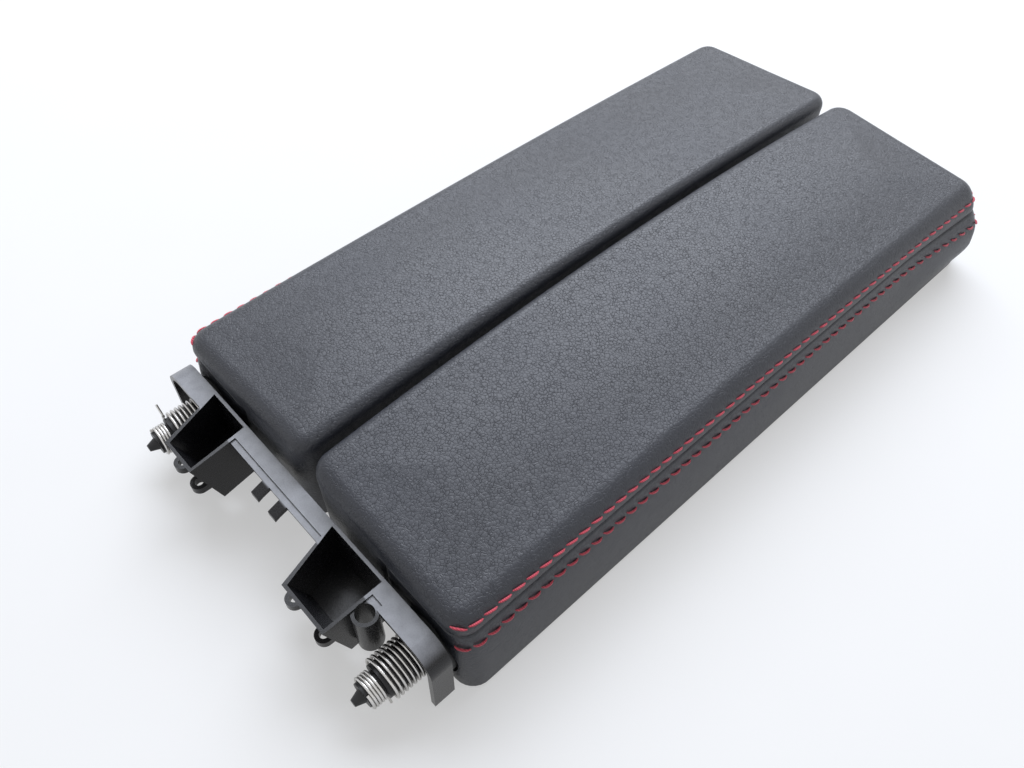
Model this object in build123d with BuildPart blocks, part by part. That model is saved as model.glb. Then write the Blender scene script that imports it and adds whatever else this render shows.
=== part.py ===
"""Car armrest: two padded leather lids that swing outwards on a hinge carrier with torsion springs."""

import os
from math import cos, radians, sin, tan

from build123d import *

os.makedirs("parts", exist_ok=True)

# Frame: millimetres, origin under the middle of the part, +Y along the lids away from the
# carrier, +Z up, the surface that the lids stand on at z = 0. Pieces of the right-hand lid
# (+X) are modelled and those of the left-hand lid are their mirror images.

overcut = 1.0                # cutting solids run this far past what they cut

# Lids, outside of the leather
lid_length = 296.5
centre_gap = 2.6             # between the two lids at the top
inner_draft = 3.0            # degrees that the centre walls part towards the foot
foot_half_width = 81.0       # from the centre line to the foot of the outer wall
outer_flare = 12.5           # degrees that the outer wall leans out towards its foot
centre_top_mid = 55.5        # top beside the gap, half way along
centre_top_end = 48.0        # the same at both ends
outer_top_mid = 48.8         # top over the outer wall, half way along
outer_top_end = 44.6
top_edge_radius = 6.0
plain_corner_radius = 7.5    # upright corners, three of the four
rear_corner_radius = 12.0    # upright corner at the far outer end
crown_margin = 10.0          # the crowned surface is drawn this far past the lid

# Layers of a lid
leather = 1.2
layer_clearance = 0.3
foam_thickness = 8.2
frame_wall = 2.5
frame_edge_radius = 1.5
hem_height = 1.0             # leather ends this far above the frame's rim

# Sewn seam on the outer wall
seam_height = 29.5
seam_width = 0.6
seam_end_x = 40.0            # where the seam turns down on the two end faces
stitch_pitch = 5.6
stitch_length = 4.6
stitch_width = 0.9
stitch_height = 0.6
stitch_lift = 0.05           # above the leather
upper_row_rise = 5.6         # from the seam up to the upper row
lower_row_fall = 6.0
lower_row_slant = 6.0        # degrees that the lower stitches lean

# Hinge axis of a lid, parallel to Y
pivot_inset = 19.0           # from the foot of the outer wall in to the axis
pivot_height = 14.5
pin_radius = 3.5
pin_fit = 0.05               # running clearance on the radius
snug_fit = 0.02              # clearance on the radius of pieces that don't turn
pin_seat = 14.0              # length of the pin inside the lid
boss_radius = 9.0
boss_floor = 2.0             # plastic behind the end of the pin
hinge_disc_radius = 12.0
hinge_disc_reach = 1.5       # in front of the lid's leather
disc_clearance = 1.0         # leather cut back around the disc
notch_depth = 4.0            # leather cut back this far along the lid below the disc
rear_pin_radius = 3.0
rear_pin_reach = 8.0         # behind the lid's leather
rear_seat_radius = 3.5       # stepped end of the rear pin inside the lid
rear_boss_radius = 7.0

# Underside of a lid
panel_thickness = 2.2
panel_height = 2.5
screw_radius = 1.5
screw_head_radius = 3.0
screw_length = 14.0
screw_boss_radius = 4.0
screw_clearance = 0.05
countersink_angle = 90.0
screw_columns = (17.0, 54.0)  # distances from the centre line
screw_end_margin = 38.0       # from the ends of the lid to the outer rows of screws
stop_radius = 5.0
stop_height = 1.5
stop_edge_radius = 0.6
stop_x = 20.0
stop_end_margin = 18.0
strike_length = 28.0
strike_width = 12.0
strike_thickness = 1.5
strike_corner_radius = 3.0
strike_slot_length = 14.0
strike_slot_width = 5.0
strike_x = 20.0
strike_end_margin = 62.0

# Hinge carrier
carrier_gap = 2.5            # between the lids' leather and the carrier
carrier_depth = 8.0          # front to back over the strip and the hoods
hood_reach = 13.8            # from the hinge axis out to the end of the carrier
carrier_top = 32.5
carrier_foot = 1.2
carrier_wall = 2.0
shoulder_radius = 9.0
cheek_reach = 11.5           # from the hinge axis in to the end of the bearing cheek
rib_depth = 9.0              # rib under the back of the strip
ledge_width = 2.2            # low ledge along the front of the strip
ledge_drop = 0.7
pocket_wall = 1.2
pocket_reach = 27.0          # front of the pockets at the top, from the lids' leather
pocket_slant = 7.0           # the front wall goes back this far towards the floor
pocket_floor = 9.0
# Sides of the pockets at the back and at the front, inwards from the nearer hinge axis
left_pocket_reach = ((7.9, 29.6), (15.8, 32.2))
right_pocket_reach = ((44.9, 16.5), (37.5, 16.0))
pocket_lower_lean = 3.0      # the slanted wall goes out this far towards the floor
pocket_window_width = 7.0    # window through the pocket's floor
pocket_window_depth = 5.0
pocket_window_margin = 1.0   # from the window to the front and right walls
lug_radius = 3.2
lug_thickness = 3.0
lug_hole_radius = 1.6
lug_height = 14.0            # top of the lugs
lug_inset = 8.0              # from the pocket's right wall to the nearer lug's axis
lug_overhang = 4.2           # from the pocket's front wall to the lug's axis
tube_radius = 4.4            # half-round stiffener beside the right pocket
tube_wall = 1.2
tube_height = 17.0
tube_bite = 1.3              # the stiffener runs this far in under the strip
hook_places = (-9.6, 0.4)
hook_width = 4.0
hook_reach = 5.0
hook_drop = 4.0
hook_thickness = 2.0

# Bushes, spring cores and springs
bush_radius = 6.0
bush_flange_radius = 7.6
bush_flange = 1.4
core_radius = 6.2
core_clearance = 0.4         # between the bush's flange and the core
core_step = 20.8             # distances in front of the lids' leather
core_small_radius = 4.4
core_collar_end = 27.0
core_tip_radius = 2.5
core_tip_end_radius = 1.3
core_reach = 30.5
core_grip = 8.0              # length of the pin inside the core
big_coil_radius = 7.4        # to the middle of the wire
big_coil_turns = 8.0
small_coil_radius = 5.2
small_coil_turns = 4.6
wire_radius = 0.5
leg_radius = 0.44            # the straight end is drawn a little thinner
coil_clearance = 0.15        # between the ends of a coil and the core's steps
leg_length = 5.0             # straight end of the big coil
right_leg_angle = -70.0      # degrees above the horizontal, outwards
left_leg_angle = 55.0
small_coil_angle = 60.0

# Places that follow from the dimensions above
total_length = core_reach + lid_length + rear_pin_reach
lid_front = core_reach - total_length / 2
lid_rear = lid_front + lid_length
lid_middle = (lid_front + lid_rear) / 2
carrier_back = lid_front - carrier_gap
carrier_front = carrier_back - carrier_depth
foam_inset = leather + layer_clearance
frame_inset = foam_inset + layer_clearance
frame_drop = foam_thickness
pad_floor_drop = foam_inset + foam_thickness
panel_top = panel_height + panel_thickness
pivot_x = foot_half_width - pivot_inset
carrier_half_width = pivot_x + hood_reach
cheek_inner_x = pivot_x - cheek_reach
pocket_left = [[reach - pivot_x for reach in pair] for pair in left_pocket_reach]
pocket_right = [[pivot_x - reach for reach in pair] for pair in right_pocket_reach]
pivot_axis = Axis((pivot_x, 0, pivot_height), (0, 1, 0))


def inner_wall_x(height):
    """Centre wall of the right-hand lid."""
    return centre_gap / 2 + (centre_top_mid - height) * tan(radians(inner_draft))


def outer_wall_x(height):
    """Outer wall of the right-hand lid."""
    return foot_half_width - height * tan(radians(outer_flare))


def top_height(x, y):
    """Crowned top of the right-hand lid, before its edges are rounded."""
    outer_x = outer_wall_x(outer_top_mid)
    across = (x - centre_gap / 2) / (outer_x - centre_gap / 2)
    middle = centre_top_mid + across * (outer_top_mid - centre_top_mid)
    end = centre_top_end + across * (outer_top_end - centre_top_end)
    along = (y - lid_middle) / (lid_length / 2)
    return middle - (middle - end) * along**2


def across_plane(y):
    """Plane across the part at y, with x to the right, z up and its normal towards -Y."""
    return Plane.XZ.offset(-y)


def export_piece(name, part):
    """Label a piece and write it to its own file."""
    part.label = name
    export_step(part, "parts/" + name + ".step")


def export_pair(name, part):
    """Write the right-hand piece and its mirror image as the left-hand piece."""
    export_piece("right_" + name, part)
    export_piece("left_" + name, mirror(part, about=Plane.YZ))


def crown(drop):
    """Solid under the crowned top of a lid, lowered by drop."""
    with BuildPart() as under_crown:
        for x in (-crown_margin, foot_half_width + crown_margin):
            with BuildSketch(Plane.YZ.offset(x)):
                ends = (lid_front - crown_margin, lid_rear + crown_margin)
                with BuildLine():
                    arch = ThreePointArc(
                        (ends[0], top_height(x, ends[0]) - drop),
                        (lid_middle, top_height(x, lid_middle) - drop),
                        (ends[1], top_height(x, ends[1]) - drop),
                    )
                    Polyline(arch @ 1, (ends[1], -crown_margin), (ends[0], -crown_margin), arch @ 0)
                make_face()
        loft(ruled=True)
    return under_crown.part


def upright_edge(part, end, side):
    """Upright edge of a lid block: end 0 is the front and -1 the rear, side 0 the inner and -1 the outer."""
    uprights = part.edges().filter_by(lambda edge: abs((edge % 0.5).Z) > 0.9)
    return uprights.group_by(Axis.Y)[end].sort_by(Axis.X)[side]


def lid_block(inset, drop, floor, edge_radius):
    """Right-hand lid as one solid, moved in from the leather's outside by inset and down by drop."""
    ceiling = centre_top_mid + top_edge_radius
    with BuildPart() as block:
        with BuildSketch(across_plane(lid_front + inset)):
            Polygon(
                (inner_wall_x(floor) + inset, floor),
                (outer_wall_x(floor) - inset, floor),
                (outer_wall_x(ceiling) - inset, ceiling),
                (inner_wall_x(ceiling) + inset, ceiling),
                align=None,
            )
        extrude(amount=-(lid_length - 2 * inset))
        fillet(upright_edge(block.part, -1, -1), rear_corner_radius - inset)
        fillet(upright_edge(block.part, -1, 0), plain_corner_radius - inset)
        fillet(upright_edge(block.part, 0, -1), plain_corner_radius - inset)
        fillet(upright_edge(block.part, 0, 0), plain_corner_radius - inset)
        add(crown(inset + drop), mode=Mode.INTERSECT)
        fillet(block.faces().sort_by(Axis.Z)[-1].edges(), edge_radius)
    return block.part


def round_bar(plane, radius, length):
    """Plain cylinder that stands on a plane."""
    with BuildPart() as bar:
        with BuildSketch(plane):
            Circle(radius)
        extrude(amount=length)
    return bar.part


# Leather covers, one hide cut into a top panel and a side panel along the sewn seam
with BuildPart() as hide:
    add(lid_block(0, 0, hem_height, top_edge_radius))
    add(lid_block(leather, 0, hem_height - overcut, top_edge_radius - leather), mode=Mode.SUBTRACT)
    with BuildSketch(across_plane(lid_front - overcut)):
        with Locations((pivot_x, pivot_height)):
            Circle(hinge_disc_radius + disc_clearance)
        notch_edge = pivot_x - hinge_disc_radius - disc_clearance
        with Locations((notch_edge, 0)):
            Rectangle(foot_half_width, pivot_height, align=(Align.MIN, Align.MIN))
    extrude(amount=-(notch_depth + overcut), mode=Mode.SUBTRACT)
    with BuildSketch(across_plane(lid_rear + overcut)):
        with Locations((pivot_x, pivot_height)):
            Circle(rear_seat_radius + disc_clearance)
    extrude(amount=leather + 2 * overcut, mode=Mode.SUBTRACT)

with BuildPart() as side_space:
    with BuildSketch(across_plane(lid_front - overcut)):
        with Locations((seam_end_x, 0)):
            Rectangle(foot_half_width, seam_height - seam_width / 2, align=(Align.MIN, Align.MIN))
    extrude(amount=-(lid_length + 2 * overcut))

with BuildPart() as seam_space:
    with BuildSketch(across_plane(lid_front - overcut)):
        with Locations((seam_end_x - seam_width, -overcut)):
            Rectangle(foot_half_width, seam_height + seam_width / 2 + overcut, align=(Align.MIN, Align.MIN))
    extrude(amount=-(lid_length + 2 * overcut))

with BuildPart() as top_cover:
    add(hide.part)
    add(seam_space.part, mode=Mode.SUBTRACT)
export_pair("top_cover", top_cover.part)

with BuildPart() as side_cover:
    add(hide.part)
    add(side_space.part, mode=Mode.INTERSECT)
export_pair("side_cover", side_cover.part)


def stitch_row(height, slant):
    """One row of thread stitches along the straight stretch of the outer wall."""
    wall_normal = Vector(cos(radians(outer_flare)), 0, sin(radians(outer_flare)))
    first = lid_front + plain_corner_radius + stitch_length / 2
    last = lid_rear - rear_corner_radius - stitch_length / 2
    count = int((last - first) / stitch_pitch) + 1
    along = Vector(0, cos(radians(slant)), 0) + wall_normal.cross(Vector(0, 1, 0)) * sin(radians(slant))
    across = along.cross(wall_normal)
    foot = Vector(outer_wall_x(height), 0, height) + wall_normal * stitch_lift
    planes = [
        Plane(foot + Vector(0, first + index * stitch_pitch, 0), x_dir=along, z_dir=across)
        for index in range(count)
    ]
    half = stitch_length / 2
    shoulder = half - stitch_height
    with BuildPart() as row:
        with BuildSketch(*planes):
            Polygon((-half, 0), (half, 0), (shoulder, stitch_height), (-shoulder, stitch_height), align=None)
        extrude(amount=stitch_width / 2, both=True)
    return row.part


export_pair("upper_stitches", stitch_row(seam_height + upper_row_rise, 0))
export_pair("lower_stitches", stitch_row(seam_height - lower_row_fall, lower_row_slant))

# Foam pad under the top panel
with BuildPart() as foam_pad:
    add(lid_block(foam_inset, 0, hem_height, top_edge_radius - foam_inset))
    add(crown(pad_floor_drop), mode=Mode.SUBTRACT)
export_pair("foam_pad", foam_pad.part)

# Lid frame, a moulded tray open at its foot, with bosses for the pivots and the panel's screws
screw_rows = (lid_front + screw_end_margin, lid_middle, lid_rear - screw_end_margin)
screw_places = [(x, y) for x in screw_columns for y in screw_rows]
front_face = lid_front + frame_inset
rear_face = lid_rear - frame_inset
front_boss_end = lid_front + pin_seat + boss_floor
rear_boss_end = lid_rear - pin_seat - boss_floor

with BuildPart() as frame_inside:
    add(lid_block(frame_inset + frame_wall, frame_drop, -overcut, frame_edge_radius))
    with BuildSketch(Plane.XY.offset(panel_top)):
        with Locations(*screw_places):
            Circle(screw_boss_radius)
    extrude(amount=centre_top_mid, mode=Mode.SUBTRACT)
    with BuildSketch(across_plane(front_face)):
        with Locations((pivot_x, pivot_height)):
            Circle(boss_radius)
    extrude(amount=front_face - front_boss_end, mode=Mode.SUBTRACT)
    with BuildSketch(across_plane(rear_face)):
        with Locations((pivot_x, pivot_height)):
            Circle(rear_boss_radius)
    extrude(amount=rear_face - rear_boss_end, mode=Mode.SUBTRACT)

with BuildPart() as lid_frame:
    add(lid_block(frame_inset, frame_drop, 0, frame_edge_radius))
    add(frame_inside.part, mode=Mode.SUBTRACT)
    with BuildSketch(across_plane(front_face)):
        with Locations((pivot_x, pivot_height)):
            Circle(hinge_disc_radius)
    extrude(amount=frame_inset + hinge_disc_reach)
    with BuildSketch(across_plane(lid_front - hinge_disc_reach)):
        with Locations((pivot_x, pivot_height)):
            Circle(pin_radius + snug_fit)
    extrude(amount=-(hinge_disc_reach + pin_seat), mode=Mode.SUBTRACT)
    with BuildSketch(across_plane(lid_rear)):
        with Locations((pivot_x, pivot_height)):
            Circle(rear_seat_radius + snug_fit)
    extrude(amount=pin_seat, mode=Mode.SUBTRACT)
    with BuildSketch(Plane.XY.offset(panel_top)):
        with Locations(*screw_places):
            Circle(screw_radius + screw_clearance)
    extrude(amount=screw_length, mode=Mode.SUBTRACT)
export_pair("lid_frame", lid_frame.part)

# Underside panel, screws, rubber stops and strike plate
panel_inset = frame_inset + frame_wall + layer_clearance
panel_left = inner_wall_x(panel_height) + panel_inset
panel_right = outer_wall_x(panel_top) - panel_inset
panel_front = lid_front + panel_inset
panel_rear = lid_rear - panel_inset

with BuildPart() as underside_panel:
    with BuildSketch(Plane.XY.offset(panel_height)) as outline:
        with Locations((panel_left, panel_front)):
            Rectangle(panel_right - panel_left, panel_rear - panel_front, align=(Align.MIN, Align.MIN))
        fillet(outline.vertices().group_by(Axis.Y)[0], plain_corner_radius - panel_inset)
        rear_corners = outline.vertices().group_by(Axis.Y)[-1].sort_by(Axis.X)
        fillet(rear_corners[-1], rear_corner_radius - panel_inset)
        fillet(outline.vertices().group_by(Axis.Y)[-1].sort_by(Axis.X)[0], plain_corner_radius - panel_inset)
    extrude(amount=panel_thickness)
    with Locations(*[Pos(x, y, panel_height) * Rot(180, 0, 0) for x, y in screw_places]):
        CounterSinkHole(
            screw_radius + screw_clearance,
            screw_head_radius + screw_clearance,
            panel_thickness,
            countersink_angle,
        )
export_pair("underside_panel", underside_panel.part)

with BuildPart() as panel_screws:
    for x, y in screw_places:
        with BuildSketch(Plane((x, y, 0), x_dir=(1, 0, 0), z_dir=(0, -1, 0))):
            with BuildLine():
                Polyline(
                    (0, panel_height),
                    (screw_head_radius, panel_height),
                    (screw_radius, panel_height + screw_head_radius - screw_radius),
                    (screw_radius, panel_height + screw_length),
                    (0, panel_height + screw_length),
                    close=True,
                )
            make_face()
        revolve(axis=Axis((x, y, 0), (0, 0, 1)))
export_pair("panel_screws", panel_screws.part)

with BuildPart() as bump_stops:
    with BuildSketch(Plane.XY.offset(panel_height)):
        with Locations((stop_x, lid_front + stop_end_margin), (stop_x, lid_rear - stop_end_margin)):
            Circle(stop_radius)
    extrude(amount=-stop_height)
    fillet(bump_stops.faces().group_by(Axis.Z)[0].edges(), stop_edge_radius)
export_pair("bump_stops", bump_stops.part)

with BuildPart() as strike_plate:
    with BuildSketch(Plane.XY.offset(panel_height)):
        with Locations((strike_x, lid_rear - strike_end_margin)):
            RectangleRounded(strike_width, strike_length, strike_corner_radius)
            SlotOverall(strike_slot_length, strike_slot_width, rotation=90, mode=Mode.SUBTRACT)
    extrude(amount=-strike_thickness)
export_pair("strike_plate", strike_plate.part)

# Pivot pins
bush_front = carrier_back - carrier_wall - bush_flange
core_back = bush_front - core_clearance
front_pin_end = lid_front + pin_seat
front_pin_plane = across_plane(front_pin_end).shift_origin((pivot_x, front_pin_end, pivot_height))
front_pin_length = front_pin_end - core_back + core_grip
export_pair("pivot_pin", round_bar(front_pin_plane, pin_radius, front_pin_length))
rear_pin_end = lid_rear + rear_pin_reach
rear_pin_plane = across_plane(rear_pin_end).shift_origin((pivot_x, rear_pin_end, pivot_height))
rear_seat_plane = across_plane(lid_rear).shift_origin((pivot_x, lid_rear, pivot_height))
with BuildPart() as rear_pivot_pin:
    add(round_bar(rear_pin_plane, rear_pin_radius, rear_pin_reach))
    add(round_bar(rear_seat_plane, rear_seat_radius, pin_seat))
export_pair("rear_pivot_pin", rear_pivot_pin.part)

# Bearing bush in the carrier, turned about the hinge axis
turning_plane = Plane((pivot_x, 0, pivot_height), x_dir=(1, 0, 0), z_dir=(0, 0, 1))
with BuildPart() as pivot_bush:
    with BuildSketch(turning_plane):
        bore = pin_radius + pin_fit
        flange_back = carrier_back - carrier_wall
        Polygon(
            (bore, carrier_back),
            (bush_radius - snug_fit, carrier_back),
            (bush_radius - snug_fit, flange_back),
            (bush_flange_radius, flange_back),
            (bush_flange_radius, bush_front),
            (bore, bush_front),
            align=None,
        )
    revolve(axis=pivot_axis)
export_pair("pivot_bush", pivot_bush.part)

# Spring core, a moulded sleeve with a pointed end that turns with the pin
with BuildPart() as spring_core:
    with BuildSketch(turning_plane):
        Polygon(
            (0, core_back),
            (core_radius, core_back),
            (core_radius, lid_front - core_step),
            (core_small_radius, lid_front - core_step),
            (core_small_radius, lid_front - core_collar_end),
            (core_tip_radius, lid_front - core_collar_end),
            (core_tip_end_radius, lid_front - core_reach),
            (0, lid_front - core_reach),
            align=None,
        )
    revolve(axis=pivot_axis)
    with BuildSketch(across_plane(core_back)):
        with Locations((pivot_x, pivot_height)):
            Circle(pin_radius + snug_fit)
    extrude(amount=core_grip + snug_fit, mode=Mode.SUBTRACT)
export_pair("spring_core", spring_core.part)


def coil_spring(front, back, radius, turns, angle, leg):
    """Round-wire coil about the hinge axis, between two distances in front of the lids, with a leg."""
    room = wire_radius + coil_clearance
    height = front - back - 2 * room
    outwards = Vector(cos(radians(angle)), 0, sin(radians(angle)))
    centre = Vector(pivot_x, lid_front - front + room, pivot_height)
    helix = Plane(centre, x_dir=outwards, z_dir=(0, 1, 0)).location * Helix(height / turns, height, radius)
    with BuildPart() as spring:
        with BuildSketch(Plane(helix @ 0, z_dir=helix % 0)):
            Circle(wire_radius)
        sweep(path=helix, is_frenet=True)
        if leg > 0:
            with BuildSketch(Plane((helix @ 0) + (helix % 0) * wire_radius, z_dir=outwards)):
                Circle(leg_radius)
            extrude(amount=leg)
    return spring.part


core_back_reach = lid_front - core_back
coil_ends = (core_step, core_back_reach)
right_spring = coil_spring(*coil_ends, big_coil_radius, big_coil_turns, right_leg_angle, leg_length)
export_piece("right_outer_spring", right_spring)
left_spring = coil_spring(*coil_ends, big_coil_radius, big_coil_turns, left_leg_angle, leg_length)
export_piece("left_outer_spring", mirror(left_spring, about=Plane.YZ))
small_coil_ends = (core_collar_end, core_step)
inner_spring = coil_spring(*small_coil_ends, small_coil_radius, small_coil_turns, small_coil_angle, 0)
export_pair("inner_spring", inner_spring)


def pocket_outline(sides, share_down, inset):
    """Plan of a pocket: share_down is 0 at its mouth and 1 at its floor, inset moves the walls inwards."""
    (back_left, back_right), (front_left, front_right) = sides
    front = lid_front - pocket_reach + pocket_slant * share_down
    lean = pocket_lower_lean * share_down
    return [
        (back_left + inset, carrier_back - inset),
        (front_left - lean + inset, front + inset),
        (front_right - inset, front + inset),
        (back_right - inset, carrier_back - inset),
    ]


def pocket_space(sides, inset, floor):
    """Tapered solid of a pocket, from its mouth down to floor."""
    with BuildPart() as space:
        for height in (carrier_top, floor):
            share_down = (carrier_top - height) / (carrier_top - pocket_floor)
            with BuildSketch(Plane.XY.offset(height)):
                Polygon(*pocket_outline(sides, share_down, inset), align=None)
        loft(ruled=True)
    return space.part


def hood_profile(offset):
    """Cross-section of the strip and its two hoods, moved inwards by offset, with x across and y up."""
    with BuildSketch() as profile:
        with Locations((0, carrier_foot)):
            Rectangle(
                2 * (carrier_half_width - offset),
                carrier_top - offset - carrier_foot,
                align=(Align.CENTER, Align.MIN),
            )
        fillet(profile.vertices().group_by(Axis.Y)[-1], shoulder_radius - offset)
    return profile.sketch


def hook_profile():
    """Side view of a snap hook, with x along the part and y up."""
    root_top = carrier_top - ledge_drop
    tip = carrier_front - hook_reach
    return (
        (carrier_front + carrier_wall, root_top),
        (carrier_front, root_top),
        (tip, root_top - hook_drop + hook_thickness),
        (tip, root_top - hook_drop),
        (tip + hook_thickness, root_top - hook_drop + hook_thickness / 2),
        (carrier_front, root_top - hook_thickness),
        (carrier_front + carrier_wall, root_top - hook_thickness),
    )


def lug_places(sides):
    """Axes of the two screw lugs in front of a pocket."""
    (front_left, front_right) = sides[1]
    y = lid_front - pocket_reach + pocket_slant - lug_overhang
    return [(front_left - pocket_lower_lean, y), (front_right - lug_inset, y)]


hood_outside = hood_profile(0)
hood_inside = hood_profile(carrier_wall)
pockets = (pocket_left, pocket_right)
pocket_solids = [pocket_space(sides, 0, pocket_floor) for sides in pockets]
pocket_hollows = [pocket_space(sides, pocket_wall, pocket_floor + pocket_wall) for sides in pockets]
all_lugs = [place for sides in pockets for place in lug_places(sides)]
window_inset = pocket_wall + pocket_window_margin
window_front = lid_front - pocket_reach + pocket_slant + window_inset
window_places = [(sides[1][1] - window_inset, window_front) for sides in pockets]
tube_centre = (pocket_right[0][1] + tube_radius - tube_wall, carrier_front - tube_radius + tube_bite)

# Hinge carrier, one moulding
with BuildPart() as hinge_carrier:
    with BuildSketch(across_plane(carrier_back)):
        add(hood_outside)
        add(hood_inside, mode=Mode.SUBTRACT)
    extrude(amount=carrier_depth)
    with BuildSketch(across_plane(carrier_front)):
        with Locations((0, carrier_top)):
            Rectangle(2 * cheek_inner_x, 2 * ledge_drop)
    extrude(amount=-ledge_width, mode=Mode.SUBTRACT)
    with BuildSketch(across_plane(carrier_back)):
        add(hood_outside)
        with Locations((0, carrier_foot)):
            Rectangle(
                2 * cheek_inner_x,
                carrier_top - rib_depth - carrier_foot,
                align=(Align.CENTER, Align.MIN),
                mode=Mode.SUBTRACT,
            )
        with Locations((pivot_x, pivot_height), (-pivot_x, pivot_height)):
            Circle(bush_radius, mode=Mode.SUBTRACT)
    extrude(amount=carrier_wall)
    add(pocket_solids)
    with BuildSketch(Plane.XY.offset(carrier_top - ledge_drop - carrier_wall - tube_height)):
        with Locations(tube_centre):
            Circle(tube_radius)
    extrude(amount=carrier_wall + tube_height)
    with BuildSketch(Plane.XY.offset(lug_height - lug_thickness)):
        with Locations(*all_lugs):
            Circle(lug_radius)
            Rectangle(2 * lug_radius, lug_overhang, align=(Align.CENTER, Align.MIN))
    extrude(amount=lug_thickness)
    with BuildSketch(*[Plane.YZ.offset(x) for x in hook_places]):
        Polygon(*hook_profile(), align=None)
    extrude(amount=hook_width / 2, both=True)
    add(pocket_hollows, mode=Mode.SUBTRACT)
    with BuildSketch(Plane.XY.offset(pocket_floor + pocket_wall)):
        with Locations(*window_places):
            Rectangle(pocket_window_width, pocket_window_depth, align=(Align.MAX, Align.MIN))
    extrude(amount=-pocket_wall, mode=Mode.SUBTRACT)
    with BuildSketch(Plane.XY.offset(carrier_top)):
        with Locations(tube_centre):
            Circle(tube_radius - tube_wall)
    extrude(amount=-carrier_top, mode=Mode.SUBTRACT)
    with BuildSketch(Plane.XY.offset(lug_height)):
        with Locations(*all_lugs):
            Circle(lug_hole_radius)
    extrude(amount=-lug_thickness, mode=Mode.SUBTRACT)
export_piece("hinge_carrier", hinge_carrier.part)
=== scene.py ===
"""Looks of the car armrest: leather lids with topstitching, moulded hinge carrier, steel springs."""

import math

import bpy
import numpy as np
from mathutils import Matrix, Vector


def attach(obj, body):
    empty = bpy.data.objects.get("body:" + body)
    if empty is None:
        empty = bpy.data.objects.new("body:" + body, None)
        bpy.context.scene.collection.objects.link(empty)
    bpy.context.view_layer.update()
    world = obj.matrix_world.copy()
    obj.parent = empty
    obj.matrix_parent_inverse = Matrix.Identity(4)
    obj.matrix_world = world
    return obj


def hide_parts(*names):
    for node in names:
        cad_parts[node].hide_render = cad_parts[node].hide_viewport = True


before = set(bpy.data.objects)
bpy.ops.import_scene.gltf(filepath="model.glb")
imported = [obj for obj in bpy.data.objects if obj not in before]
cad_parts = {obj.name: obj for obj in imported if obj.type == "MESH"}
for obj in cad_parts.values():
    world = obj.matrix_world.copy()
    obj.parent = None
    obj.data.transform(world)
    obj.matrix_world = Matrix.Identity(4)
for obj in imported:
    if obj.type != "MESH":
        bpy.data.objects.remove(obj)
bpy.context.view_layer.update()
MM = 0.001

# Lid in millimetres; its padded skin stands steeper than the CAD solid
LID_FRONT, LID_REAR = -137.0, 159.5
LID_MIDDLE = (LID_FRONT + LID_REAR) / 2
HALF_LENGTH = (LID_REAR - LID_FRONT) / 2
CENTRE_GAP = 2.6
INNER_DRAFT = math.tan(math.radians(3.0))
FOOT_HALF_WIDTH = 81.0
OUTER_FLARE = math.tan(math.radians(7.3))
CENTRE_TOP = (55.5, 48.0)  # height at the middle and at the ends
OUTER_TOP = (45.2, 42.8)
TOP_CROWN, CROWN_REACH = 0.9, 0.9
EDGE_RADIUS = 5.6
INNER_FRONT_RADIUS, OUTER_FRONT_RADIUS = 7.2, 7.5
OUTER_REAR_RADIUS, INNER_REAR_RADIUS = 7.0, 8.5
LEATHER = 1.2
HEM = 1.0
HEM_TURN = 2.4  # leather turned under the foot of the wall

# Swelling of the padding at the rear end
REAR_SWELL = (5.0, 4.5)  # along y and along x
SWELL_LENGTH = 60.0
SWELL_FOOT = 16.0  # height at which the swelling along x is full
SWELL_FADE = 20.0  # height above which it all fades

# Sewn seam along the outer side; a groove is its depth and half width
SEAM_HEIGHT = 33.6
SEAM_SAG = 2.6  # the seam comes down this far at the rear end
SEAM_END_X = 40.0
SEAM_BLEND = 3.0
SEAM_GROOVE, SEAM_DIP = (1.3, 0.5), (0.3, 3.0)
SEAM_END_GROOVE = (0.9, 1.2)
ROW_GROOVE = (0.28, 0.9)
BELLY = 0.7
SHOULDER, SHOULDER_HEIGHT = 0.5, 9.0

# Topstitching
UPPER_ROW, LOWER_ROW = 39.4, 27.8
STITCH_PITCH = 5.6
THREAD_RADIUS = 0.45
THREAD_SIDES, STITCH_SEGMENTS = 6, 6
STITCH_END_DIP, STITCH_END_TAPER = 0.6, 0.45
ROW_SAMPLES = 8000
STITCH_START = 4.0  # from the end of the seam
TURN_SPREAD, HEIGHT_SPREAD = 1.2, 0.06  # sewing is never quite even: degrees and millimetres

# Cut in the leather for the hinge disc
PIVOT_X, PIVOT_HEIGHT = 62.0, 14.5
DISC_CUT_RADIUS, NOTCH_DEPTH = 13.0, 4.0
CUT_OVERRUN = 6.0

# Rows of the skin's grid: heights up to the seam, shares from there to the edge, steps round the edge,
# and shares of the way from there to the middle
COLUMNS = 420
CORNER_STEPS = 25
WALL_LEVELS = [HEM, 1.3, 2.2, 4.0, 7.0, 10.0, 13.0, 16.0, 19.0, 22.0, 24.5, 26.5, 27.8]
WALL_LEVELS += [29.2, 30.5, 31.5, 32.2, 32.6, 32.9, 33.15, 33.4]
HIGH_SHARES = [0.0, 0.05, 0.1, 0.17, 0.26, 0.38, 0.52, 0.68, 0.84]
ROUND_STEPS = 12
TOP_SHARES = [0.05, 0.11, 0.18, 0.26, 0.35, 0.45, 0.55, 0.66, 0.77, 0.88, 1.0]
RIM_LEVEL, TOP_LEVEL = 40.0, 48.0  # heights at which the edge and the width of the top are taken
SMOOTH_ANGLE = math.radians(50)


def deselect():
    """Nothing selected, object mode."""
    if bpy.context.object and bpy.context.object.mode != "OBJECT":
        bpy.ops.object.mode_set(mode="OBJECT")
    bpy.ops.object.select_all(action="DESELECT")


def activate(obj):
    """Only this object selected and active."""
    deselect()
    obj.select_set(True)
    bpy.context.view_layer.objects.active = obj


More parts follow.
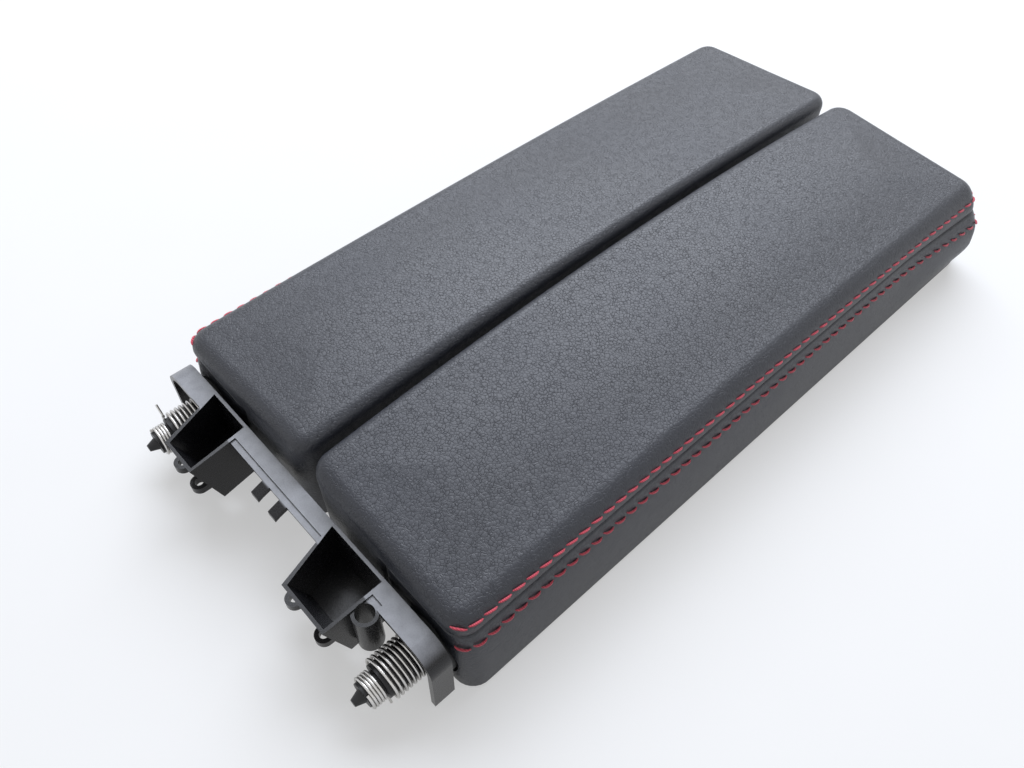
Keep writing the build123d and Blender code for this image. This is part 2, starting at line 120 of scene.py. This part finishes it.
def edit(obj, *steps):
    """Run edit-mode operators on the whole mesh; a step is (operator, settings)."""
    activate(obj)
    bpy.ops.object.mode_set(mode="EDIT")
    bpy.ops.mesh.select_all(action="SELECT")
    for operator, settings in steps:
        operator(**settings)
    bpy.ops.object.mode_set(mode="OBJECT")


def get_points(obj):
    """Vertices as an array in millimetres."""
    flat = np.zeros(len(obj.data.vertices) * 3)
    obj.data.vertices.foreach_get("co", flat)
    return flat.reshape(-1, 3) / MM


def set_points(obj, points):
    """Vertices from an array in millimetres."""
    obj.data.vertices.foreach_set("co", (points * MM).astype(np.float32).ravel())
    obj.data.update()


def add_modifier(obj, kind, **settings):
    """Add a modifier, set it and apply it."""
    activate(obj)
    made = obj.modifiers.new(kind.lower(), kind)
    for name, value in settings.items():
        setattr(made, name, value)
    bpy.ops.object.modifier_apply(modifier=made.name)


class Field:
    """A shader socket that adds, scales and mixes like a number."""

    def __init__(self, tree, socket):
        self.tree = tree
        self.socket = socket

    def node(self, kind, output=0, settings=(), **inputs):
        """One output of a new node whose inputs are fields or constants; i0, i1 name inputs by place."""
        made = self.tree.nodes.new("ShaderNode" + kind)
        for name, value in dict(settings).items():
            setattr(made, name, value)
        for name, value in inputs.items():
            place = int(name[1:]) if name[1:].isdigit() else name.replace("_", " ")
            if isinstance(value, Field):
                self.tree.links.new(value.socket, made.inputs[place])
            else:
                made.inputs[place].default_value = value
        return Field(self.tree, made.outputs[output])

    def math(self, operation, other=0.0, swap=False):
        """A Math node on this field and another; swap puts the other one first."""
        first, second = (other, self) if swap else (self, other)
        return self.node("Math", settings={"operation": operation}, i0=first, i1=second)

    def __add__(self, other):
        return self.math("ADD", other)

    def __radd__(self, other):
        return self.math("ADD", other, swap=True)

    def __sub__(self, other):
        return self.math("SUBTRACT", other)

    def __rsub__(self, other):
        return self.math("SUBTRACT", other, swap=True)

    def __mul__(self, other):
        return self.math("MULTIPLY", other)

    def __rmul__(self, other):
        return self.math("MULTIPLY", other, swap=True)

    def step(self, low, high):
        """0 below low, 1 above high, smooth between them."""
        smoothstep = {"interpolation_type": "SMOOTHSTEP"}
        return self.node("MapRange", settings=smoothstep, i0=self, i1=low, i2=high, i3=0.0, i4=1.0)

    def mix(self, dark, light):
        """Colour between two, by this field."""
        shade = [c if isinstance(c, Field) else (*c, 1.0) for c in (dark, light)]
        return self.node("Mix", output=2, settings={"data_type": "RGBA"}, i0=self, i6=shade[0], i7=shade[1])

    def part(self, axis):
        """One part of a vector: 0, 1 or 2."""
        return self.node("SeparateXYZ", output=axis, i0=self)


class Finish:
    """A material with object coordinates and the usual textures on them."""

    def __init__(self, name, **constants):
        self.material = bpy.data.materials.new(name)
        self.material.use_nodes = True
        self.tree = self.material.node_tree
        self.shader = self.tree.nodes["Principled BSDF"]
        for key, value in constants.items():
            self.shader.inputs[key.replace("_", " ")].default_value = value
        coordinates = self.tree.nodes.new("ShaderNodeTexCoord")
        self.place = Field(self.tree, coordinates.outputs["Object"])
        geometry = self.tree.nodes.new("ShaderNodeNewGeometry")
        self.normal = Field(self.tree, geometry.outputs["Normal"])

    def noise(self, size, detail=3.0, roughness=0.5, output=0):
        """Noise whose blobs are about size millimetres."""
        scale = 1 / (size * MM)
        inputs = {"Vector": self.place, "Scale": scale, "Detail": detail, "Roughness": roughness}
        return self.place.node("TexNoise", output=output, **inputs)

    def cells(self, size, feature, where):
        """Cells of about size millimetres."""
        scale = 1 / (size * MM)
        return self.place.node("TexVoronoi", settings={"feature": feature}, Vector=where, Scale=scale)

    def warped(self, size, amount):
        """Object coordinates pushed about by noise, by up to amount millimetres."""
        push = self.noise(size, 0.0, output=1)
        centred = push.node("VectorMath", settings={"operation": "SUBTRACT"}, i0=push, i1=(0.5, 0.5, 0.5))
        scaled = push.node("VectorMath", settings={"operation": "SCALE"}, i0=centred, i3=2 * amount * MM)
        return push.node("VectorMath", settings={"operation": "ADD"}, i0=self.place, i1=scaled)

    def feed(self, **fields):
        """Link fields to the shader's inputs."""
        for name, value in fields.items():
            self.tree.links.new(value.socket, self.shader.inputs[name.replace("_", " ")])

    def bump(self, height, depth, strength=1.0):
        """Surface relief from a height field, depth in millimetres."""
        self.feed(Normal=height.node("Bump", Strength=strength, Distance=depth * MM, Height=height))


def leather_finish():
    """Black grained leather: pebbles parted by broken creases, with pores and shallow folds."""
    finish = Finish("pebbled_leather", IOR=1.5)
    pebble_size, pore_size, fold_size, patch_size = 1.2, 0.4, 7.0, 45.0
    warped = finish.warped(2.0, 0.62)
    pebbles = finish.cells(pebble_size, "F1", warped)
    edges = finish.cells(pebble_size, "DISTANCE_TO_EDGE", warped)
    broken = finish.noise(2.6, 1.0).step(0.38, 0.62)
    crease = (1.0 - edges.step(0.0, 0.1)) * (0.4 + broken * 0.6)
    pores = finish.noise(pore_size, 1.0)
    folds = finish.noise(fold_size, 1.0)
    height = 1.0 - crease * 0.6 - pebbles * pebbles * 0.3 + pores * 0.12 + folds * 0.4
    finish.bump(height, 0.22, 0.8)
    patch = finish.noise(patch_size, 1.0)
    # Patches and pores are the leather's own tone; the crease term paints shade into the creases.
    tone_and_crease_shade = 0.3 + patch * 0.5 + pores * 0.15 - crease * 0.2
    finish.feed(
        Base_Color=tone_and_crease_shade.mix((0.0135, 0.0147, 0.0192), (0.042, 0.0455, 0.058)),
        Roughness=0.34 + patch * 0.08 + crease * 0.08 + pores * 0.05,
    )
    return finish.material


def thread_finish():
    """Twisted red sewing thread."""
    finish = Finish("red_thread", Sheen_Weight=0.35, Sheen_Roughness=0.5)
    twist_pitch = 0.62 * MM
    slanted = finish.place.part(1) + finish.place.part(2) * 0.9
    twist = (slanted * (2 * math.pi / twist_pitch)).math("SINE") * 0.5 + 0.5
    fibres = finish.noise(0.12, 2.0)
    finish.bump(twist * 0.8 + fibres * 0.2, 0.12, 0.9)
    patch = finish.noise(6.0, 2.0)
    # The twist term paints shade into the grooves between the plies and light onto their crests; patch and
    # fibres are the thread's own tone.
    shade = twist * 0.6 + patch * 0.3 + fibres * 0.1
    finish.feed(
        Base_Color=shade.mix((0.42, 0.03, 0.05), (0.88, 0.095, 0.145)),
        Roughness=0.55 + fibres * 0.2,
    )
    return finish.material


def plastic_finish(name, dark, light, grain, depth, roughness, top_sheen=0.0):
    """Moulded plastic with a spark-eroded grain; a painted sheen lightens the upward-facing top of the
    carrier's strip.
    """
    finish = Finish(name, Specular_IOR_Level=0.35)
    sparks = finish.noise(grain, 4.0, roughness=0.65)
    flow = finish.noise(25.0, 3.0)
    finish.bump(sparks, depth, 0.6)
    shade = (sparks * 0.5 + flow * 0.5).mix(dark, light)
    if top_sheen:
        # Painted sheen: up-facing faces of the strip's top are mixed towards pale grey, standing in for the
        # reflection of the light above.
        facing = finish.normal.part(2).step(0.6, 0.98)
        strip = finish.place.part(1).step(-0.1482, -0.1474) * finish.place.part(2).step(0.027, 0.03)
        painted_sheen = strip * facing * (0.45 + finish.noise(4.0, 4.0) * 0.55) * top_sheen
        shade = painted_sheen.mix(shade, (0.5, 0.505, 0.535))
    finish.feed(Base_Color=shade, Roughness=roughness + sparks * 0.12 - flow * 0.06)
    return finish.material


def steel_finish(name, dark, light, scratch, roughness):
    """Bright drawn or plated steel with fine lines and a little tarnish."""
    finish = Finish(name, Metallic=1.0)
    lines = finish.noise(scratch, 4.0, roughness=0.7)
    tarnish = finish.noise(5.0, 4.0)
    finish.bump(lines, 0.02, 0.4)
    shade = lines * 0.4 + tarnish * 0.6
    finish.feed(Base_Color=shade.mix(dark, light), Roughness=roughness + tarnish * 0.16)
    return finish.material


def rubber_finish():
    """Dull black rubber with a little bloom."""
    finish = Finish("stop_rubber")
    bloom = finish.noise(3.0, 4.0)
    grain = finish.noise(0.4, 3.0)
    finish.bump(grain, 0.06, 0.6)
    finish.feed(
        Base_Color=bloom.mix((0.018, 0.018, 0.018), (0.05, 0.05, 0.052)),
        Roughness=0.75 + grain * 0.15,
    )
    return finish.material


leather = leather_finish()
thread = thread_finish()
rubber = rubber_finish()
# The carrier's last value is the strength of the painted sheen on the top of its strip.
carrier_plastic = plastic_finish(
    "carrier_plastic", (0.007, 0.007, 0.008), (0.017, 0.017, 0.019), 0.5, 0.03, 0.24, top_sheen=0.8
)
frame_plastic = plastic_finish(
    "frame_plastic", (0.012, 0.012, 0.013), (0.026, 0.026, 0.028), 0.6, 0.08, 0.5
)
panel_plastic = plastic_finish(
    "panel_plastic", (0.02, 0.02, 0.022), (0.042, 0.042, 0.046), 0.8, 0.14, 0.55
)
core_plastic = plastic_finish(
    "core_plastic", (0.01, 0.01, 0.011), (0.024, 0.024, 0.026), 0.5, 0.05, 0.4
)
bush_plastic = plastic_finish("bush_plastic", (0.55, 0.55, 0.5), (0.7, 0.7, 0.66), 0.6, 0.04, 0.42)
spring_steel = steel_finish("spring_steel", (0.4, 0.39, 0.37), (0.72, 0.71, 0.7), 0.25, 0.22)
pin_steel = steel_finish("pin_steel", (0.48, 0.48, 0.49), (0.66, 0.66, 0.68), 0.3, 0.2)
screw_steel = steel_finish("screw_steel", (0.46, 0.47, 0.5), (0.62, 0.63, 0.66), 0.5, 0.28)
plate_steel = steel_finish("plate_steel", (0.5, 0.5, 0.52), (0.66, 0.66, 0.69), 0.7, 0.3)

# Finish of each CAD piece, without its hand; the covers, foam and stitches are replaced below
finishes = {
    "hinge_carrier": carrier_plastic,
    "lid_frame": frame_plastic,
    "underside_panel": panel_plastic,
    "spring_core": core_plastic,
    "pivot_bush": bush_plastic,
    "outer_spring": spring_steel,
    "inner_spring": spring_steel,
    "pivot_pin": pin_steel,
    "rear_pivot_pin": pin_steel,
    "panel_screws": screw_steel,
    "strike_plate": plate_steel,
    "bump_stops": rubber,
}
for name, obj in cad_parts.items():
    kind = name.split("_", 1)[1] if name.startswith(("left_", "right_")) else name
    obj.data.materials.clear()
    obj.data.materials.append(finishes.get(kind, leather))


# Shape of the right-hand lid, in millimetres, on arrays
def smooth(value, low, high):
    """0 below low, 1 above high, smooth between them."""
    t = np.clip((value - low) / (high - low), 0, 1)
    return t * t * (3 - 2 * t)


def groove(offset, size):
    """Rounded groove at an offset from its middle; size is its depth and half width."""
    depth, half_width = size
    return -depth * np.exp(-((offset / half_width) ** 2))


def inner_wall_x(z):
    """Place of the wall beside the centre gap at a height."""
    return CENTRE_GAP / 2 + (CENTRE_TOP[0] - z) * INNER_DRAFT


def outer_wall_x(z):
    """Place of the outer wall at a height."""
    return FOOT_HALF_WIDTH - z * OUTER_FLARE


def top_height(x, y):
    """Height of the top, which falls outwards and towards both ends."""
    across = (x - CENTRE_GAP / 2) / (outer_wall_x(OUTER_TOP[0]) - CENTRE_GAP / 2)
    middle = CENTRE_TOP[0] + across * (OUTER_TOP[0] - CENTRE_TOP[0])
    end = CENTRE_TOP[1] + across * (OUTER_TOP[1] - CENTRE_TOP[1])
    along = (y - LID_MIDDLE) / HALF_LENGTH
    return middle - (middle - end) * along**2


def outline_points():
    """Dense plan of the lid at the seam, anticlockwise from the inner wall: points and outward normals."""
    left, right = inner_wall_x(SEAM_HEIGHT), outer_wall_x(SEAM_HEIGHT)
    corners = [
        (left + INNER_FRONT_RADIUS, LID_FRONT + INNER_FRONT_RADIUS, INNER_FRONT_RADIUS, 180),
        (right - OUTER_FRONT_RADIUS, LID_FRONT + OUTER_FRONT_RADIUS, OUTER_FRONT_RADIUS, 270),
        (right - OUTER_REAR_RADIUS, LID_REAR - OUTER_REAR_RADIUS, OUTER_REAR_RADIUS, 0),
        (left + INNER_REAR_RADIUS, LID_REAR - INNER_REAR_RADIUS, INNER_REAR_RADIUS, 90),
    ]
    points, normals = [], []
    for x, y, radius, start in corners:
        for angle in np.radians(np.linspace(start, start + 90, CORNER_STEPS)):
            normal = np.array([math.cos(angle), math.sin(angle)])
            points.append(np.array([x, y]) + radius * normal)
            normals.append(normal)
    return np.array(points + points[:1]), np.array(normals + normals[:1])


OUTLINE, OUTLINE_NORMALS = outline_points()
STEPS = np.linalg.norm(np.diff(OUTLINE, axis=0), axis=1)
ARC = np.concatenate([[0], np.cumsum(STEPS)])


def outline_at(distance):
    """Plan point and outward normal at distances along the outline."""
    distance = np.mod(distance, ARC[-1])
    point = np.stack([np.interp(distance, ARC, OUTLINE[:, k]) for k in (0, 1)], axis=-1)
    normal = np.stack([np.interp(distance, ARC, OUTLINE_NORMALS[:, k]) for k in (0, 1)], axis=-1)
    return point, normal / np.linalg.norm(normal, axis=-1, keepdims=True)


def sag_at(y):
    """How far the seam lies below its height at the front."""
    return SEAM_SAG * np.clip((y - LID_MIDDLE) / HALF_LENGTH, 0, 1) ** 2


def wall_point(distance, z, out=0.0, swell=1.0):
    """Point on the wall of the lid at a height, moved outwards by out, and the outward normal."""
    point, normal = outline_at(distance)
    left, right = inner_wall_x(SEAM_HEIGHT), outer_wall_x(SEAM_HEIGHT)
    share = (point[..., 0] - left) / (right - left)
    rear = smooth(point[..., 1], LID_REAR - SWELL_LENGTH, LID_REAR)
    rear = swell * rear * (1 - smooth(z, SWELL_FADE, OUTER_TOP[1]))
    x = inner_wall_x(z) + share * (outer_wall_x(z) - inner_wall_x(z))
    x = x + rear * share * smooth(z, 0.0, SWELL_FOOT) * REAR_SWELL[1]
    y = point[..., 1] + rear * REAR_SWELL[0]
    return x + normal[..., 0] * out, y + normal[..., 1] * out, normal


def wall_relief(distance, z):
    """How far the padded wall stands out: full between hem, seam and top, drawn in along the seam."""
    point, normal = outline_at(distance)
    z = z + sag_at(point[..., 1]) * np.minimum(z / SEAM_HEIGHT, 1)
    above = z - SEAM_HEIGHT
    sewn = smooth(point[..., 0], SEAM_END_X - SEAM_BLEND, SEAM_END_X + SEAM_BLEND)
    on_end_face = np.abs(normal[..., 1]) > 0.9
    end_valley = groove(point[..., 0] - SEAM_END_X, SEAM_END_GROOVE) * (above < 0) * on_end_face
    valley = groove(above, SEAM_GROOVE) + groove(above, SEAM_DIP)
    belly = BELLY * np.sin(np.pi * np.clip((z - HEM) / (SEAM_HEIGHT - HEM), 0, 1))
    shoulder = SHOULDER * np.sin(np.pi * np.clip(above / SHOULDER_HEIGHT, 0, 1))
    rows = groove(z - UPPER_ROW, ROW_GROOVE) + groove(z - LOWER_ROW, ROW_GROOVE)
    return sewn * (valley + belly + shoulder + rows) + end_valley


def rim_height(distance):
    """Height where the wall meets the rounded edge of the top."""
    x, y, _ = wall_point(distance, np.full_like(distance, RIM_LEVEL))
    return top_height(x, y) - EDGE_RADIUS


def lid_surface(u, row):
    """Points of the lid's skin: u runs round the outline, row up the wall and over the edge to the middle."""
    distance = u * ARC[-1]
    rim = rim_height(distance)
    seam = SEAM_HEIGHT - sag_at(outline_at(distance)[0][:, 1])
    points = np.zeros((len(u), 3))

    def put(number, x, y, z):
        here = row == number
        points[here] = np.stack([x, y, z], axis=-1)[here]

    hem = np.full_like(u, HEM)
    x, y, _ = wall_point(distance, hem, -HEM_TURN, swell=0.0)
    put(0, x, y, hem)
    levels = [level * seam / SEAM_HEIGHT for level in WALL_LEVELS]
    levels += [seam + share * (rim - seam) for share in HIGH_SHARES]
    for number, level in enumerate(levels, start=1):
        x, y, _ = wall_point(distance, level, wall_relief(distance, level))
        put(number, x, y, level)
    first_round = len(levels) + 1
    for k in range(ROUND_STEPS + 1):
        angle = math.pi / 2 * k / ROUND_STEPS
        inset = EDGE_RADIUS * (1 - math.cos(angle))
        level = rim + EDGE_RADIUS * math.sin(angle)
        edge_x, edge_y, _ = wall_point(distance, level, wall_relief(distance, rim) - inset)
        drop = EDGE_RADIUS * (1 - math.sin(angle))
        put(first_round + k, edge_x, edge_y, top_height(edge_x, edge_y) - drop)
    inner, outer = inner_wall_x(TOP_LEVEL), outer_wall_x(TOP_LEVEL)
    half = (outer - inner) / 2
    middle_y = np.clip(edge_y, LID_FRONT + half, LID_REAR - half)
    for number, share in enumerate(TOP_SHARES, start=first_round + ROUND_STEPS + 1):
        x = edge_x + share * ((outer + inner) / 2 - edge_x)
        y = edge_y + share * (middle_y - edge_y)
        put(number, x, y, top_height(x, y) + TOP_CROWN * smooth(share, 0.0, CROWN_REACH))
    return points


def lid_skin():
    """Whole skin of the right-hand lid from a grid wrapped round the outline."""
    rows = 1 + len(WALL_LEVELS) + len(HIGH_SHARES) + ROUND_STEPS + 1 + len(TOP_SHARES)
    deselect()
    bpy.ops.mesh.primitive_grid_add(x_subdivisions=COLUMNS, y_subdivisions=rows - 1, size=1)
    made = bpy.context.object
    grid = get_points(made) * MM
    row = np.rint((grid[:, 1] + 0.5) * (rows - 1)).astype(int)
    set_points(made, lid_surface(grid[:, 0] + 0.5, row))
    edit(
        made,
        (bpy.ops.mesh.remove_doubles, {"threshold": 0.02 * MM}),
        (bpy.ops.mesh.normals_make_consistent, {"inside": False}),
    )
    return made


def hinge_cutter():
    """Cylinder that cuts the leather back round the hinge disc."""
    deselect()
    depth = NOTCH_DEPTH + CUT_OVERRUN
    place = Vector((PIVOT_X, LID_FRONT + NOTCH_DEPTH - depth / 2, PIVOT_HEIGHT))
    bpy.ops.mesh.primitive_cylinder_add(
        vertices=64,
        radius=DISC_CUT_RADIUS * MM,
        depth=depth * MM,
        location=place * MM,
        rotation=(math.pi / 2, 0, 0),
    )
    disc = bpy.context.object
    bpy.ops.object.transform_apply()
    return disc


def split_skin(obj, side):
    """Keep the side panel below the seam, or else everything but it."""
    activate(obj)
    bpy.ops.object.mode_set(mode="EDIT")
    bpy.ops.mesh.select_mode(type="FACE")
    bpy.ops.mesh.select_all(action="DESELECT")
    bpy.ops.object.mode_set(mode="OBJECT")
    for face in obj.data.polygons:
        centre = face.center / MM
        low = centre.z < SEAM_HEIGHT - sag_at(centre.y) and centre.x > SEAM_END_X
        face.select = bool(low) != side
    bpy.ops.object.mode_set(mode="EDIT")
    bpy.ops.mesh.delete(type="FACE")
    bpy.ops.object.mode_set(mode="OBJECT")


def copy_of(obj, name):
    """Copy with its own mesh."""
    made = obj.copy()
    made.data = obj.data.copy()
    made.name = name
    made.data.name = name
    bpy.context.scene.collection.objects.link(made)
    return made


def mirrored(obj, name):
    """Mirror image across the middle plane."""
    made = copy_of(obj, name)
    set_points(made, get_points(made) * np.array([-1.0, 1.0, 1.0]))
    edit(made, (bpy.ops.mesh.flip_normals, {}))
    return made


def finish_piece(obj, material, body, nodes):
    """Material, body and the CAD nodes that a piece stands for."""
    obj.data.materials.clear()
    obj.data.materials.append(material)
    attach(obj, body)
    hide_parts(*nodes)


def in_pair(obj, base, material, nodes):
    """Finish the right-hand piece and its mirror image."""
    obj.name = "right_" + base
    for made, hand in ((obj, "right"), (mirrored(obj, "left_" + base), "left")):
        activate(made)
        bpy.ops.object.shade_smooth_by_angle(angle=SMOOTH_ANGLE)
        finish_piece(made, material, hand + "_lid", [hand + "_" + node for node in nodes])


# Leather covers
top_skin = lid_skin()
side_skin = copy_of(top_skin, "side_skin")
split_skin(top_skin, side=False)
split_skin(side_skin, side=True)
cutter = hinge_cutter()
for piece in (top_skin, side_skin):
    add_modifier(piece, "SOLIDIFY", thickness=LEATHER * MM, offset=-1.0)
    add_modifier(piece, "BOOLEAN", operation="DIFFERENCE", solver="EXACT", object=cutter)
bpy.data.objects.remove(cutter)
in_pair(top_skin, "lid_top_leather", leather, ["top_cover", "foam_pad"])
in_pair(side_skin, "lid_side_leather", leather, ["side_cover"])


def single_stitch(length, arch, lift):
    """One loop of thread that dips into the leather at its ends: x along it, y up, z out of the leather."""
    deselect()
    bpy.ops.mesh.primitive_cylinder_add(
        vertices=THREAD_SIDES,
        radius=THREAD_RADIUS * MM,
        depth=length * MM,
        end_fill_type="NGON",
        rotation=(0, math.pi / 2, 0),
    )
    stitch = bpy.context.object
    bpy.ops.object.transform_apply()
    for k in range(1, STITCH_SEGMENTS):
        cut = (k / STITCH_SEGMENTS - 0.5) * length * MM
        edit(stitch, (bpy.ops.mesh.bisect, {"plane_co": (cut, 0, 0), "plane_no": (1, 0, 0)}))
    points = get_points(stitch)
    share = np.abs(points[:, 0]) / (length / 2)
    points[:, 1:] *= (1 - STITCH_END_TAPER * share**4)[:, None]
    points[:, 2] += lift - STITCH_END_DIP * share**3
    points[:, 1] += arch * (1 - share**2)
    set_points(stitch, points)
    return stitch


def row_distances():
    """Distances along the outline, round both outer corners, where the stitches have their middles."""
    samples = np.linspace(0, ARC[-1], ROW_SAMPLES)
    point, normal = outline_at(samples)
    sewn = samples[(point[:, 0] > SEAM_END_X + STITCH_START) & ((normal[:, 0] > 0.4) | (normal[:, 1] > 0))]
    count = int((sewn.max() - sewn.min()) / STITCH_PITCH)
    return sewn.min() + STITCH_PITCH * (np.arange(count) + 0.5)


def stitch_place(distance, height, slant, rng):
    """Axes and middle of one stitch on the leather, turned by slant degrees in its surface."""
    here = np.array([distance])
    level = height - sag_at(outline_at(here)[0][:, 1])
    rim = rim_height(here)
    over = np.clip((level - rim) / EDGE_RADIUS, 0, 0.9)
    inset = EDGE_RADIUS * (1 - np.sqrt(1 - over**2))
    x, y, normal = wall_point(here, level, wall_relief(here, np.minimum(level, rim)) - inset)
    tilt = OUTER_FLARE * max(normal[0, 0], 0) + over[0] / math.sqrt(1 - over[0] ** 2)
    out = Vector((normal[0, 0], normal[0, 1], tilt)).normalized()
    along = Vector((-normal[0, 1], normal[0, 0], 0)).normalized()
    turn = math.radians(slant + rng.normal(0, TURN_SPREAD))
    first = along * math.cos(turn) + out.cross(along) * math.sin(turn)
    axes = np.array([first, out.cross(first), out])
    return axes, np.array([x[0], y[0], level[0] + rng.normal(0, HEIGHT_SPREAD)])


def stitch_row(base, height, length, slant, arch, lift, node):
    """A row of stitches round the lid at a height."""
    stitch = single_stitch(length, arch, lift)
    shape = get_points(stitch)
    rng = np.random.default_rng(7)
    parts = []
    for distance in row_distances():
        axes, middle = stitch_place(distance, height, slant, rng)
        part = copy_of(stitch, base)
        set_points(part, shape @ axes + middle)
        parts.append(part)
    deselect()
    for part in parts:
        part.select_set(True)
    made = parts[0]
    bpy.context.view_layer.objects.active = made
    bpy.ops.object.join()
    bpy.data.objects.remove(stitch)
    edit(made, (bpy.ops.mesh.normals_make_consistent, {"inside": False}))
    in_pair(made, base, thread, [node])


stitch_row("upper_thread_row", UPPER_ROW, 5.2, -10.0, 0.12, 0.38, "upper_stitches")
stitch_row("lower_thread_row", LOWER_ROW, 5.3, -17.0, -0.35, 0.68, "lower_stitches")

# Floor and light: white to the camera and in reflections, at a plain level on the object
FLOOR_SIZE, FLOOR_DROP = 6.0, 0.0002
FLOOR_GLOW = 0.45
SKY_STRENGTH = 0.31
LAMP_PLACE, LAMP_TARGET = (-0.82, 0.98, 1.52), (0, 0, 0.03)
LAMP_SIZE, LAMP_POWER = (2.0, 1.5), 54.0
LAMP_COLOUR = (0.9, 0.95, 1.05)


def seen_directly(tree):
    """1 for camera, glossy and transmission rays, 0 for the light that falls on surfaces."""
    path = tree.nodes.new("ShaderNodeLightPath")
    names = ("Is Camera Ray", "Is Glossy Ray", "Is Transmission Ray")
    camera_ray, glossy_ray, transmission_ray = (Field(tree, path.outputs[name]) for name in names)
    return (camera_ray + glossy_ray + transmission_ray).math("MINIMUM", 1.0)


def pale_floor():
    """White floor that keeps the object's shadow."""
    deselect()
    bpy.ops.mesh.primitive_plane_add(size=FLOOR_SIZE, location=(0, 0, -FLOOR_DROP))
    floor = bpy.context.object
    finish = Finish("pale_floor", Roughness=0.85, Emission_Strength=FLOOR_GLOW)
    finish.feed(
        Base_Color=finish.noise(60.0, 2.0).mix((0.45, 0.45, 0.45), (0.47, 0.47, 0.47)),
        Emission_Color=seen_directly(finish.tree).mix((0.0, 0.0, 0.0), (1.0, 1.0, 1.0)),
    )
    floor.data.materials.append(finish.material)


def white_world():
    """Soft sky light, behind a background that is white where it is seen."""
    world = bpy.context.scene.world or bpy.data.worlds.new("studio")
    bpy.context.scene.world = world
    world.use_nodes = True
    tree = world.node_tree
    sky = tree.nodes["Background"]
    white = tree.nodes.new("ShaderNodeBackground")
    for made, colour, strength in ((sky, (0.95, 0.97, 1.0), SKY_STRENGTH), (white, (1.0, 1.0, 1.0), 1.0)):
        made.inputs["Color"].default_value = (*colour, 1.0)
        made.inputs["Strength"].default_value = strength
    seen = seen_directly(tree)
    mixed = seen.node("MixShader", i0=seen, i1=Field(tree, sky.outputs[0]), i2=Field(tree, white.outputs[0]))
    tree.links.new(mixed.socket, tree.nodes["World Output"].inputs["Surface"])


def softbox(name):
    """Rectangular area light behind and to the left, which puts the sheen on the leather."""
    data = bpy.data.lights.new(name, "AREA")
    data.shape = "RECTANGLE"
    data.size, data.size_y = LAMP_SIZE
    data.energy = LAMP_POWER
    data.color = LAMP_COLOUR
    lamp = bpy.data.objects.new(name, data)
    lamp.location = LAMP_PLACE
    towards = Vector(LAMP_TARGET) - Vector(LAMP_PLACE)
    lamp.rotation_euler = towards.to_track_quat("-Z", "Y").to_euler()
    bpy.context.scene.collection.objects.link(lamp)


pale_floor()
white_world()
softbox("back_left")

# Camera at the photograph's place, in millimetres, with its own axes
CAMERA_PLACE = Vector((153.303, -193.972, 281.485))
CAMERA_RIGHT = Vector((0.67980, 0.73312, 0.01982))
CAMERA_UP = Vector((-0.58706, 0.52777, 0.61384))
CAMERA_BACK = Vector((0.43956, -0.42893, 0.78918))
camera_data = bpy.data.cameras.new("camera")
camera_data.sensor_width = 36.0
camera_data.lens = 30.586
camera_data.clip_start = 0.01
camera = bpy.data.objects.new("camera", camera_data)
turned = Matrix((CAMERA_RIGHT, CAMERA_UP, CAMERA_BACK)).transposed().to_4x4()
camera.matrix_world = Matrix.Translation(CAMERA_PLACE * MM) @ turned
bpy.context.scene.collection.objects.link(camera)
bpy.context.scene.camera = camera
bpy.context.scene.view_settings.view_transform = "Standard"
